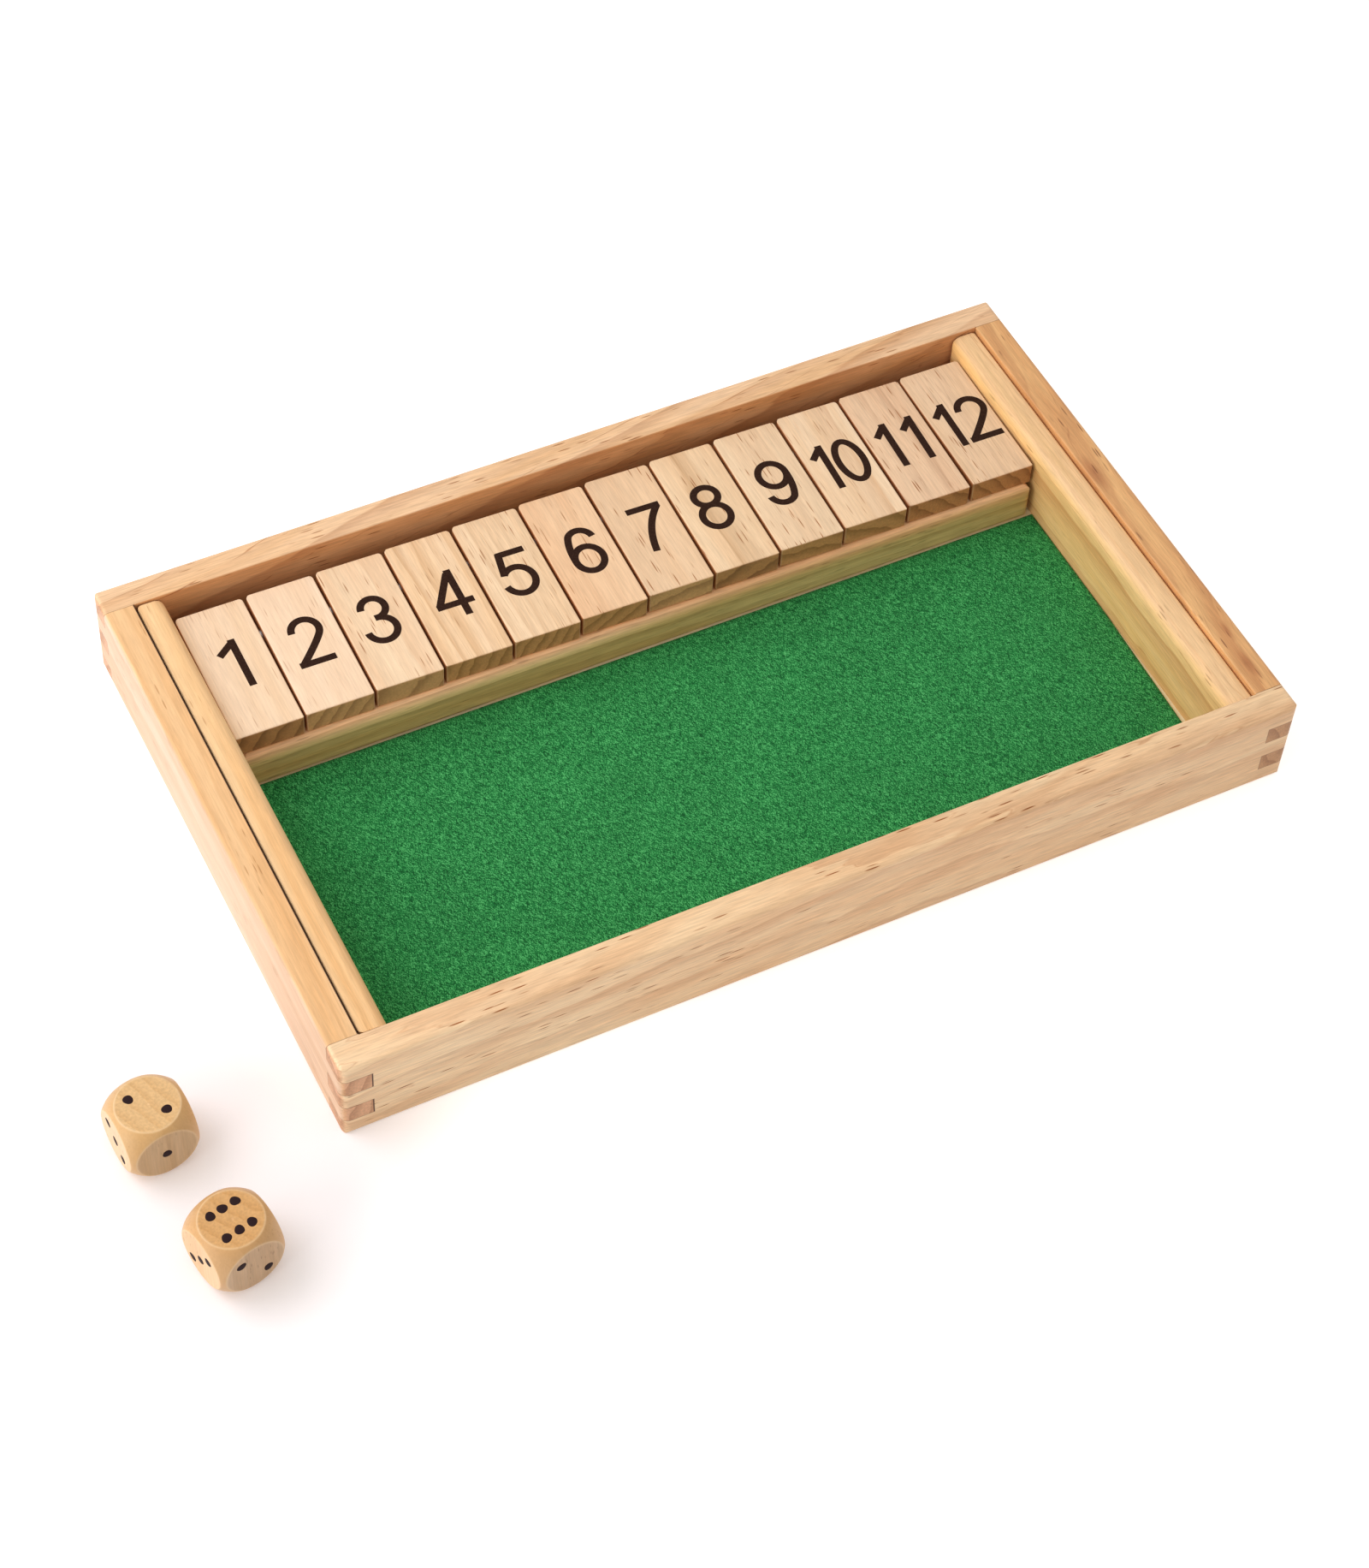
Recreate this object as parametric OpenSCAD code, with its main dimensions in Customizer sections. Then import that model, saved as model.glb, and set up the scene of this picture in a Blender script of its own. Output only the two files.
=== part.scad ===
// Shut the box game: a finger-jointed tray with twelve numbered tiles on one rod, and two dice.
// Millimetres, +Z up. The origin is the centre of the box's underside; the tiles are at +Y.

/* [Box] */
// Width of the box, along the row of tiles
box_w = 290; // [250:1:400]
// Depth of the box, from the front rail's face to the back rail's
box_d = 177; // [150:1:260]
// Height of the box
box_h = 29.7; // [27:0.1:45]
// Thickness of the rails and side boards
board_t = 9; // [7:0.5:14]
// Fingers down each corner joint, an odd number
finger_count = 5; // [3:2:9]
// Rounding of the box's outer edges
outer_r = 1.3; // [0.5:0.1:2.5]
// Rounding of the box's four corners, seen from above
corner_r = 2.4; // [0.5:0.1:4]
// Rounding of the boards' inner top edges
inner_r = 0.5; // [0.4:0.1:2]

/* [Base and felt] */
// Thickness of the base panel
base_t = 4.4; // [3:0.1:7]
// How far the base panel is let in under the boards
base_let_in = 4; // [2:0.5:6]
// Thickness of the felt
felt_t = 0.8; // [0.4:0.1:2]
// Gap round the felt
felt_gap = 0.3; // [0.2:0.1:3]
// How much the felt's right edge falls short at the front
felt_short = 1.6; // [0:0.1:6]
// Distance behind the front edge at which the felt's right edge is full again
felt_short_run = 58; // [10:1:70]

/* [Rod carriers] */
// Width of the strip that carries the rod along each side board
strip_w = 8.1; // [6:0.1:14]
// Gap between a strip and its side board
strip_gap = 0.5; // [0.3:0.1:2]
// Gap between a strip's end and the rail
strip_end_gap = 0.4; // [0:0.1:2]
// Left strip's top below the rim
left_strip_drop = 0.8; // [0:0.1:4]
// Right strip's top below the rim
right_strip_drop = 1.5; // [0:0.1:4]
// Rounding of a strip's inner top edge
strip_inner_r = 3.4; // [1:0.1:5]
// Rounding of a strip's outer top edge
strip_outer_r = 0.6; // [0.4:0.1:2]
// Rounding of a strip's ends, seen from above
strip_end_r = 1.5; // [0.4:0.1:3]

/* [Tiles] */
// Length of a tile, front to back
tile_l = 47.6; // [40:0.1:60]
// Thickness of a tile
tile_t = 7.4; // [6:0.1:10]
// Gap between two tiles
tile_gap = 0.8; // [0.6:0.1:1.5]
// Gap between an end tile and its strip
tile_side_gap = 0.6; // [0.5:0.1:2]
// Tiles' top below the rim
tile_drop = 5.6; // [4:0.1:8]
// Tiles' back end from the back rail
tile_back_gap = 5.1; // [3:0.1:10]
// Rounding of a tile's front corners, seen from above
tile_front_r = 0.8; // [0.5:0.1:3]
// Rounding of a tile's back corners, seen from above
tile_back_r = 2; // [0.5:0.1:3]
// Rounding of a tile's edges
tile_edge_r = 0.5; // [0.2:0.1:1]

/* [Rod] */
// Diameter of the rod through the tiles
rod_d = 3.5; // [2:0.1:4]
// Radial clearance of the rod in a tile
rod_clear = 0.08; // [0.02:0.01:0.1]
// Radial clearance of the rod in its two strips
rod_seat_clear = 0.03; // [0.02:0.01:0.1]
// Depth of the rod's seat in a strip
rod_seat = 5; // [3:0.1:6]
// Gap between the rod's end and the bottom of its seat
rod_end_gap = 0.2; // [0.1:0.1:1]
// Rod's axis from the tiles' back end
rod_from_back = 12.6; // [9:0.1:14]

/* [Tile rest] */
// Depth of the rest under the tiles' front ends
rest_w = 9; // [6:0.1:14]
// How far the rest shows in front of the tiles
rest_lead = 2.5; // [0:0.1:5]
// Gap between the rest's end and a strip
rest_end_gap = 1.5; // [0.3:0.1:4]
// Gap under a tile at rest
rest_clear = 0.2; // [0.1:0.05:0.3]
// Rounding of the rest's front top edge
rest_top_r = 3; // [1:0.1:4]
// Rounding of the rest's front bottom edge
rest_bottom_r = 1.8; // [0.5:0.1:3]
// Rounding of the rest's back top edge
rest_back_r = 1; // [0.3:0.1:2]
// Rounding of the edges at the rest's two ends
rest_end_r = 2; // [0.5:0.1:3]

/* [Dice] */
// Width of a die, face to face
dice_w = 19.6; // [14:0.1:25]
// Radius of the ball that rounds a die
dice_ball_r = 13; // [9.5:0.1:16]
// Diameter of a pip
pip_d = 2.8; // [1:0.1:3.5]
// Depth of a pip
pip_deep = 0.4; // [0.2:0.1:1]
// Pips' distance from the middle of a face
pip_step = 3.75; // [2.5:0.05:5]
// First die: left of the box, behind its front face, turned
die_1_place = [45.5, 18, 5]; // [0:0.1:90]
// Second die: left of the box, behind its front face, turned
die_2_place = [38.9, -22.2, 12]; // [-90:0.1:90]

/* [Hidden] */
$fn = 64;
beyond = 1; // how far a cutter reaches past what it cuts

tile_count = 12;
// How far each tile stands out of square with the rod, in degrees, from tile 1 on
tile_skew = [0.7, 1.1, 1.3, 1.4, 1.5, 1.5, 1.7, 1.4, 1.5, 1.7, 1.5, 0.8];

half_w = box_w / 2;
half_d = box_d / 2;
in_x = half_w - board_t;
in_y = half_d - board_t;
finger_h = box_h / finger_count;

panel_x = in_x + base_let_in;
panel_y = in_y + base_let_in;

strip_out_x = in_x - strip_gap;
strip_in_x = strip_out_x - strip_w;

tile_w = (2 * (strip_in_x - tile_side_gap) - (tile_count - 1) * tile_gap) / tile_count;
tile_pitch = tile_w + tile_gap;
tile_top = box_h - tile_drop;
tile_bottom = tile_top - tile_t;
tile_back = in_y - tile_back_gap;
tile_front = tile_back - tile_l;
tile_y = (tile_front + tile_back) / 2;

rod_y = tile_back - rod_from_back;
rod_z = tile_top - tile_t / 2;
rod_l = 2 * (strip_in_x + rod_seat - rod_end_gap);

rest_x = strip_in_x - rest_end_gap;
rest_front = tile_front - rest_lead;
rest_top = tile_bottom - rest_clear;

felt_x = strip_in_x - felt_gap;
felt_front = -in_y + felt_gap;
felt_back = rest_front - felt_gap;

BOX_NODES = ["front_rail", "back_rail", "left_side_board", "right_side_board", "base_panel",
             "felt_mat", "tile_rest", "left_rod_strip", "right_rod_strip", "pivot_rod"];
function tile_name(n) = str("tile_", n < 10 ? "0" : "", n);
TILE_NODES = [for (n = [1 : tile_count]) tile_name(n)];

// ---- Shared shapes ----

// Takes one corner of a rectangle off to a radius; out points out of the rectangle, as [1, -1]
module corner_off(corner, out, r) {
    middle = corner - r * out;
    past = corner + beyond * out;
    difference() {
        translate([min(middle.x, past.x), min(middle.y, past.y)])
            square(r + beyond);
        translate(middle)
            circle(r);
    }
}

// Rectangle from low to high; radii go round from the low corner: low x first, then high x
module round_rect(low, high, radii) {
    difference() {
        translate(low)
            square(high - low);
        if (radii[0] > 0)
            corner_off(low, [-1, -1], radii[0]);
        if (radii[1] > 0)
            corner_off([high.x, low.y], [1, -1], radii[1]);
        if (radii[2] > 0)
            corner_off(high, [1, 1], radii[2]);
        if (radii[3] > 0)
            corner_off([low.x, high.y], [-1, 1], radii[3]);
    }
}

// Draws a profile of [y, z] along X, from -half to half
module along_x(half) {
    rotate([90, 0, 90])
        linear_extrude(2 * half, center = true)
            children();
}

// Draws a profile of [x, z] along Y, from -half to half
module along_y(half) {
    rotate([90, 0, 0])
        linear_extrude(2 * half, center = true)
            children();
}

// Box about the origin in x and y, from z low to z high, with its edges rounded; its corners, seen
// from above, have one radius at the front and one at the back
module round_box(half_x, half_y, low, high, front_r, back_r, edge_r) {
    corners = [front_r, front_r, back_r, back_r];
    edges = [edge_r, edge_r, edge_r, edge_r];
    intersection() {
        translate([0, 0, low])
            linear_extrude(high - low)
                round_rect([-half_x, -half_y], [half_x, half_y], corners);
        along_x(half_x)
            round_rect([-half_y, low], [half_y, high], edges);
        along_y(half_y)
            round_rect([-half_x, low], [half_x, high], edges);
    }
}

// Box between two corners
module block(low, high) {
    translate(low)
        cube(high - low);
}

// ---- The box ----

// The whole frame before it is parted into four boards
module frame_stock() {
    difference() {
        round_box(half_w, half_d, 0, box_h, corner_r, corner_r, outer_r);
        block([-in_x, -in_y, -beyond], [in_x, in_y, box_h + beyond]);
        block([-panel_x, -panel_y, -beyond], [panel_x, panel_y, base_t]);
    }
}

// A side board's fingers at the front right corner; the other corners mirror them
module fingers() {
    for (k = [1 : 2 : finger_count - 2])
        block([in_x, -half_d - beyond, k * finger_h], [half_w + beyond, -in_y, (k + 1) * finger_h]);
}

// The front rail; the back rail is its mirror image
module rail() {
    difference() {
        intersection() {
            frame_stock();
            block([-half_w - beyond, -half_d - beyond, -beyond],
                  [half_w + beyond, -in_y, box_h + beyond]);
        }
        fingers();
        mirror([1, 0, 0])
            fingers();
        along_x(in_x)
            corner_off([-in_y, box_h], [1, 1], inner_r);
    }
}

// The right side board; the left one is its mirror image
module side_board() {
    difference() {
        intersection() {
            frame_stock();
            union() {
                block([in_x, -in_y, -beyond], [half_w + beyond, in_y, box_h + beyond]);
                fingers();
                mirror([0, 1, 0])
                    fingers();
            }
        }
        along_y(in_y)
            corner_off([in_x, box_h], [-1, 1], inner_r);
    }
}

module front_rail() {
    color("#d9a878")
        rail();
}

module back_rail() {
    color("#d9a878")
        mirror([0, 1, 0])
            rail();
}

module left_side_board() {
    color("#e3b98c")
        mirror([1, 0, 0])
            side_board();
}

module right_side_board() {
    color("#e3b98c")
        side_board();
}

module base_panel() {
    color("#e6cf9f")
        block([-panel_x, -panel_y, 0], [panel_x, panel_y, base_t]);
}

// Felt glued to the base, its right edge cut a little out of square at the front
module felt_mat() {
    color("#2a8743")
        translate([0, 0, base_t])
            linear_extrude(felt_t)
                polygon([[-felt_x, felt_front],
                         [felt_x - felt_short, felt_front],
                         [felt_x, felt_front + felt_short_run],
                         [felt_x, felt_back],
                         [-felt_x, felt_back]]);
}

// ---- What carries the tiles ----

// Batten that the tiles' front ends lie on, eased round its two ends
module tile_rest() {
    ends = [rest_end_r, rest_end_r, rest_end_r, rest_end_r];
    front_ends = [rest_end_r, rest_end_r, 0, 0];
    color("#dcb083")
        intersection() {
            along_x(rest_x)
                round_rect([rest_front, base_t], [rest_front + rest_w, rest_top],
                           [rest_bottom_r, 0, rest_back_r, rest_top_r]);
            translate([0, rest_front + rest_w / 2, 0])
                along_y(rest_w)
                    round_rect([-rest_x, base_t], [rest_x, rest_top], ends);
            linear_extrude(box_h)
                round_rect([-rest_x, rest_front], [rest_x, rest_front + rest_w], front_ends);
        }
}

// Right strip, with the rod's blind seat; the left one is its mirror image
module rod_strip(drop) {
    half_l = in_y - strip_end_gap;
    ends = [strip_end_r, strip_end_r, strip_end_r, strip_end_r];
    difference() {
        intersection() {
            along_y(half_l)
                round_rect([strip_in_x, base_t], [strip_out_x, box_h - drop],
                           [0, 0, strip_outer_r, strip_inner_r]);
            linear_extrude(box_h)
                round_rect([strip_in_x, -half_l], [strip_out_x, half_l], ends);
        }
        translate([strip_in_x - beyond, rod_y, rod_z])
            rotate([0, 90, 0])
                cylinder(h = rod_seat + beyond, r = rod_d / 2 + rod_seat_clear);
    }
}

module left_rod_strip() {
    color("#dfb27c")
        mirror([1, 0, 0])
            rod_strip(left_strip_drop);
}

module right_rod_strip() {
    color("#dfb27c")
        rod_strip(right_strip_drop);
}

module pivot_rod() {
    color("#b9bbbd")
        translate([-rod_l / 2, rod_y, rod_z])
            rotate([0, 90, 0])
                cylinder(h = rod_l, r = rod_d / 2);
}

// ---- Tiles ----

// Tile n, lying open with its number up; the bore follows the rod, the tile stands a little askew
module tile(n) {
    tile_x = (n - (tile_count + 1) / 2) * tile_pitch;
    color("#e8c496")
        difference() {
            translate([tile_x, tile_y, 0])
                rotate([0, 0, -tile_skew[n - 1]])
                    round_box(tile_w / 2, tile_l / 2, tile_bottom, tile_top,
                              tile_front_r, tile_back_r, tile_edge_r);
            translate([tile_x - tile_pitch, rod_y, rod_z])
                rotate([0, 90, 0])
                    cylinder(h = 2 * tile_pitch, r = rod_d / 2 + rod_clear);
        }
}

// ---- Dice ----

// Places of 1 to 6 pips on a face, in pip steps
PIPS = [[[0, 0]],
        [[-1, 1], [1, -1]],
        [[-1, 1], [0, 0], [1, -1]],
        [[-1, 1], [1, 1], [-1, -1], [1, -1]],
        [[-1, 1], [1, 1], [0, 0], [-1, -1], [1, -1]],
        [[-1, 1], [0, 1], [1, 1], [-1, -1], [0, -1], [1, -1]]];

// Recesses of one face's pips: drawn on the top face, spun in it, then turned to their own face
module face_pips(count, turn, spin = 0) {
    rotate(turn)
        rotate([0, 0, spin])
            for (place = PIPS[count - 1])
                translate([place.x * pip_step, place.y * pip_step, dice_w / 2 - pip_deep])
                    cylinder(h = pip_deep + beyond, r = pip_d / 2);
}

// Die with the numbers of its top, front and left faces; opposite faces add up to 7
module die(place, top, front, left, left_spin) {
    color("#d8b27a")
        translate([-half_w - place[0], -half_d + place[1], dice_w / 2])
            rotate([0, 0, place[2]])
                difference() {
                    intersection() {
                        cube(dice_w, center = true);
                        sphere(dice_ball_r);
                    }
                    face_pips(top, [0, 0, 0]);
                    face_pips(7 - top, [180, 0, 0]);
                    face_pips(front, [90, 0, 0]);
                    face_pips(7 - front, [-90, 0, 0]);
                    face_pips(left, [0, -90, 0], left_spin);
                    face_pips(7 - left, [0, 90, 0]);
                }
}

module die_1() {
    die(die_1_place, top = 2, front = 1, left = 3, left_spin = 90);
}

module die_2() {
    die(die_2_place, top = 6, front = 2, left = 3, left_spin = 0);
}

front_rail();
back_rail();
left_side_board();
right_side_board();
base_panel();
felt_mat();
tile_rest();
left_rod_strip();
right_rod_strip();
pivot_rod();
for (n = [1 : tile_count])
    tile(n);
die_1();
die_2();
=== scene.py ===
# %% [markdown]
# # Dressing a shut the box game
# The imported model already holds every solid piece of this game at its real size: four boards, a base, a
# felt mat, two strips, a rod, a rest for the tiles, twelve tiles and two dice. This lesson gives them
# their looks. We load the solids as a fixed frame, measure them, and add only what a solid can't carry:
# grain, felt, printed numbers and pips.

import math

import bmesh
import bpy
import numpy as np
from mathutils import Matrix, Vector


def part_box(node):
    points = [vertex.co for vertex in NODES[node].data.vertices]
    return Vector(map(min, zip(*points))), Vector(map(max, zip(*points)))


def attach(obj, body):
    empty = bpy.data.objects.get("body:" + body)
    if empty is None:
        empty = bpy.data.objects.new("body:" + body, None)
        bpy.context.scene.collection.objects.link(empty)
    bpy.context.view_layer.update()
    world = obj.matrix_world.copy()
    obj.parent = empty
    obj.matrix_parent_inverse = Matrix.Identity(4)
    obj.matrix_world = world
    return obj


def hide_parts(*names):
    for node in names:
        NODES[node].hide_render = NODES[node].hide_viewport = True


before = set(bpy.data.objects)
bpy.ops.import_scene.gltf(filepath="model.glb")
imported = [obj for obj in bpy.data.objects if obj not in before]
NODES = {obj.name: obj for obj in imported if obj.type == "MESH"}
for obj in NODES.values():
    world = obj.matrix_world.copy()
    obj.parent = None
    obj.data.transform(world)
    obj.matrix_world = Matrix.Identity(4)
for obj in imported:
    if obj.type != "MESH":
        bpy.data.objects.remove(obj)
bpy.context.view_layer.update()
MM = 0.001

# %% [markdown]
# ## The sizes we need
# Nothing is measured twice. The boards, strips and tiles know where they are, so the sizes below are read
# off their corners. Only the number of fingers in the corner joints is given, because a box doesn't tell
# it. The base panel runs equally far under all four boards, so its overlap at the back also gives the
# inner width.

# %% Read sizes off the frame
FINGER_COUNT = 5


def corners(name):
    """Lowest and highest corner of a solid, as arrays."""
    return [np.array(corner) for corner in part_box(name)]


def points_of(name):
    """All corners of a solid's mesh, one row each."""
    vertices = NODES[name].data.vertices
    points = np.empty(len(vertices) * 3)
    vertices.foreach_get("co", points)
    return points.reshape(-1, 3)


base_high = corners("base_panel")[1]
IN_Y = float(corners("back_rail")[0][1])
IN_X = float(base_high[0] - (base_high[1] - IN_Y))
FINGER_H = float(corners("front_rail")[1][2]) / FINGER_COUNT
TILE_NAMES = sorted(name for name in NODES if name.startswith("tile_") and name != "tile_rest")
print("inner half width", round(IN_X / MM, 2), "mm, inner half depth", round(IN_Y / MM, 2), "mm")

# %% [markdown]
# ## The camera
# A low box is best seen from above and to one side through a long lens, so that the tray reads as a tray
# and its edges stay nearly parallel. We place the camera by its position and by three angles: how far it
# is turned, how far it looks down, and how far it is rolled.

# %% Place the camera
CAMERA_PLACE = np.array([-0.30816, -0.53573, 0.75531])
CAMERA_TURN = math.radians(29.911)
CAMERA_DOWN = math.radians(51.852)
CAMERA_ROLL = math.radians(4.24)
SENSOR_MM = 36.0
LENS_MM = 89.47


def camera_axes(turn, down, roll):
    """Right, up and backward axes of a camera that looks along +Y, is turned to the right by turn, tipped
    down by down, and rolled: right = cos(roll) right0 + sin(roll) up0, and up is a quarter turn from
    it."""
    look = np.array([math.sin(turn) * math.cos(down), math.cos(turn) * math.cos(down), -math.sin(down)])
    right0 = np.array([math.cos(turn), -math.sin(turn), 0.0])
    up0 = np.cross(right0, look)
    right = math.cos(roll) * right0 + math.sin(roll) * up0
    up = np.cross(right, look)
    return np.column_stack([right, up, -look])


def stand_at(holder, axes, place):
    """Puts a camera or lamp at a place, with its own axes along the columns of axes."""
    pose = np.eye(4)
    pose[:3, :3] = axes
    pose[:3, 3] = place
    holder.matrix_world = Matrix(pose.tolist())
    bpy.context.scene.collection.objects.link(holder)


camera = bpy.data.objects.new("camera", bpy.data.cameras.new("camera"))
camera.data.sensor_fit = "HORIZONTAL"
camera.data.sensor_width = SENSOR_MM
camera.data.lens = LENS_MM
stand_at(camera, camera_axes(CAMERA_TURN, CAMERA_DOWN, CAMERA_ROLL), CAMERA_PLACE)
bpy.context.scene.camera = camera
print("camera is", round(float(np.linalg.norm(CAMERA_PLACE)), 3), "m from the middle of the box")

# %% [markdown]
# ## Colour and node helpers
# Colours are picked as the hex values one reads on a screen. Shaders want linear light, so one function
# turns them. A second function adds any shader node, sets it and links it, which keeps each material
# readable.

# %% Helpers for materials


def linear(hex_colour):
    """sRGB hex to linear: c / 12.92 below 0.04045, otherwise ((c + 0.055) / 1.055) ** 2.4."""
    parts = np.array([int(hex_colour[k : k + 2], 16) for k in (1, 3, 5)]) / 255
    low = parts / 12.92
    high = ((parts + 0.055) / 1.055) ** 2.4
    return [*np.where(parts <= 0.04045, low, high).tolist(), 1.0]


def add(tree, kind, inputs=None, out=None, stops=(), colours=(), **settings):
    """Adds a shader node of that kind and returns its first output, or the output or outputs named by
    out. inputs gives sockets a value or a link, and settings are properties of the node. A colour ramp
    takes its places with greys from stops, or with hex colours from colours."""
    node = tree.nodes.new("ShaderNode" + kind)
    for name, value in settings.items():
        setattr(node, name, value)
    for key, value in (inputs or {}).items():
        if isinstance(value, bpy.types.NodeSocket):
            tree.links.new(value, node.inputs[key])
        else:
            node.inputs[key].default_value = value
    marks = [(place, (grey, grey, grey, 1.0)) for place, grey in stops]
    marks += [(place, linear(hex_colour)) for place, hex_colour in colours]
    while marks and len(node.color_ramp.elements) < len(marks):
        node.color_ramp.elements.new(1.0)
    for k, (place, colour) in enumerate(marks):
        node.color_ramp.elements[k].position = place
        node.color_ramp.elements[k].color = colour
    if isinstance(out, str):
        return node.outputs[out]
    if out:
        return [node.outputs[name] for name in out]
    return next((socket for socket in node.outputs if socket.enabled), None)


def new_material(name):
    """An empty node material and its tree."""
    material = bpy.data.materials.new(name)
    material.use_nodes = True
    material.node_tree.nodes.clear()
    return material, material.node_tree


def dress(name, material):
    """Gives a solid of the frame one material in place of the one that it came with."""
    piece = NODES[name]
    piece.data.materials.clear()
    piece.data.materials.append(material)


print("middle grey #808080 is", round(linear("#808080")[0], 3), "in linear light")

# %% [markdown]
# ## Wood, worked out once
# All the wood here is planed and lightly sealed, without stain. Cut wood shows four things: growth rings
# that run out at a slant, fine fibres along the grain, short dark pores, and a darker, ringed end grain.
# A solid texture gives all four at once and lets a line on the top run round onto the end, as in real
# timber. So the texture is built in millimetres with the grain along its first axis, and every piece
# takes another place in it. Most of its parts are noise drawn out along the grain, so that comes first.

# %% Streaks along the grain


def streaks(tree, place, size_mm, detail, roughness=0.5, out="Fac"):
    """Noise whose blotches are size_mm = (length along the grain, width across it)."""
    length, width = size_mm
    drawn = add(tree, "Mapping", {"Vector": place, "Scale": [1 / length, 1 / width, 1 / width]})
    return add(tree, "TexNoise",
               {"Vector": drawn, "Scale": 1.0, "Detail": detail, "Roughness": roughness}, out=out)


# Real fibres are a few hundredths of a millimetre wide, which wouldn't show, so they are drawn coarser
FIBRE_MM = (9, 0.55)
BAND_MM = (110, 6)
print("fibres are drawn", FIBRE_MM[1], "mm wide and", FIBRE_MM[0], "mm long")

# %% [markdown]
# ## Growth rings
# A tree adds a ring each year: a broad pale band that darkens to a narrow line where the growth stops.
# The rings lie round the heart of the log, so a point's distance from the heart, counted in rings, says
# when it grew. Its whole part is the year and the rest is the season. No two years are equally dark, so
# each draws its strength by lot. Thinner lines run between the rings, and break off and start again.

# %% Rings and lines
LINES_PER_RING = 3.0
RING_PROFILE = [(0.0, 0.0), (0.4, 0.08), (0.84, 0.8), (0.93, 1.0), (1.0, 0.0)]
LINE_PROFILE = [(0.0, 0.0), (0.82, 0.0), (0.91, 1.0), (0.97, 0.0)]
RIPPLE_MM, RIPPLE_RINGS = (40, 5), 0.7
BREAK_MM = (18, 3)


def seasons(tree, phase, profile, lots):
    """For a phase that rises by 1 from line to line: the shade of a point, read off profile by the
    fraction of the phase, and the strength of its line, drawn by lot for the whole part and spread as
    lots says."""
    season = add(tree, "Math", {0: phase}, operation="FRACT")
    shade = add(tree, "ValToRGB", {"Fac": season}, stops=profile)
    year = add(tree, "Math", {0: phase}, operation="FLOOR")
    lot = add(tree, "TexWhiteNoise", {"W": year}, noise_dimensions="1D")
    return shade, add(tree, "MapRange", {"Value": lot, **lots})


def growth(tree, bent, ring_mm, rings, lines):
    """Phase = distance from the heart / ring_mm + ripple. Returns the plain shade of the rings, and how
    dark rings and lines make a point, whichever is more."""
    across = add(tree, "VectorMath", {0: bent, 1: (0.0, 1.0, 1.0)}, operation="MULTIPLY")
    radius = add(tree, "VectorMath", {0: across}, operation="LENGTH")
    count = add(tree, "Math", {0: radius, 1: ring_mm}, operation="DIVIDE")
    ripple = streaks(tree, bent, RIPPLE_MM, 2.0)
    phase = add(tree, "Math", {0: ripple, 1: RIPPLE_RINGS, 2: count}, operation="MULTIPLY_ADD")
    late, strength = seasons(tree, phase, RING_PROFILE, {"To Min": 0.3 * rings, "To Max": 1.2 * rings})
    ring_share = add(tree, "Math", {0: late, 1: strength}, operation="MULTIPLY", use_clamp=True)

    finer = add(tree, "Math", {0: phase, 1: LINES_PER_RING}, operation="MULTIPLY")
    fine, fine_strength = seasons(tree, finer, LINE_PROFILE, {"From Min": 0.25, "To Max": lines})
    breaks = streaks(tree, bent, BREAK_MM, 2.0)
    unbroken = add(tree, "MapRange", {"Value": breaks, "From Min": 0.43, "From Max": 0.54})
    line_part = add(tree, "Math", {0: fine, 1: fine_strength}, operation="MULTIPLY")
    line_share = add(tree, "Math", {0: line_part, 1: unbroken}, operation="MULTIPLY", use_clamp=True)
    return late, add(tree, "Math", {0: ring_share, 1: line_share}, operation="MAXIMUM")


print("each ring holds", int(LINES_PER_RING), "finer lines")

# %% [markdown]
# ## Pores and knots
# Pores are the cut pipes of the wood: short dark dashes along the grain, thick in one patch and missing
# in the next. One dash to a cell of a Voronoi texture keeps them apart. A knot is the foot of a branch.
# The grain bulges round it, and it is darker.

# %% Pores and knots
# A dash takes up this share of its cell. Real pores are about 0.1 mm wide, and are drawn coarser to show
PORE_SHARE = 0.4
PATCH_MM = (26, 9)
KNOT_BULGE_MM, KNOT_STAIN = 3.0, 0.65


def pore_marks(tree, run, pore_mm, pores, pore_patch):
    """Dashes of pore_mm = (length, width), where the patches pass pore_patch. About half the cells show
    theirs, with the strength pores."""
    length, width = pore_mm
    cell = [PORE_SHARE / length, PORE_SHARE / width, PORE_SHARE / width]
    cells = add(tree, "Mapping", {"Vector": run, "Scale": cell})
    far, lot = add(tree, "TexVoronoi", {"Vector": cells, "Scale": 1.0, "Randomness": 1.0},
                   out=("Distance", "Color"))
    hole = add(tree, "MapRange", {"Value": far, "From Min": 0.28, "From Max": 0.17})
    patch = streaks(tree, run, PATCH_MM, 1.0)
    here = add(tree, "MapRange", {"Value": patch, "From Min": pore_patch, "From Max": pore_patch + 0.06,
                                  "To Max": pores})
    fate = add(tree, "MapRange", {"Value": lot, "From Min": 0.4, "From Max": 0.6})
    shown = add(tree, "Math", {0: here, 1: fate}, operation="MULTIPLY")
    return add(tree, "Math", {0: hole, 1: shown}, operation="MULTIPLY")


def knot_share(tree, place, knots):
    """How near a point is to the knots, from 0 to 1: a knot is an oval three times as long as it is wide.
    knots are (x, y, z, width) in mm, and place is in mm with the grain along x."""
    share = None
    for x, y, z, width in knots:
        off = add(tree, "VectorMath", {0: place, 1: (x, y, z)}, operation="SUBTRACT")
        oval = add(tree, "VectorMath", {0: off, 1: (0.3 / width, 1 / width, 0.6 / width)},
                   operation="MULTIPLY")
        far = add(tree, "VectorMath", {0: oval}, operation="LENGTH")
        near = add(tree, "MapRange", {"Value": far, "From Min": 1.0, "From Max": 0.0},
                   interpolation_type="SMOOTHSTEP")
        share = add(tree, "Math", {0: share, 1: near}, operation="MAXIMUM") if share else near
    return share


print("a pore takes up", PORE_SHARE, "of its cell, and a knot bulges the grain by", KNOT_BULGE_MM, "mm")

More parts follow.
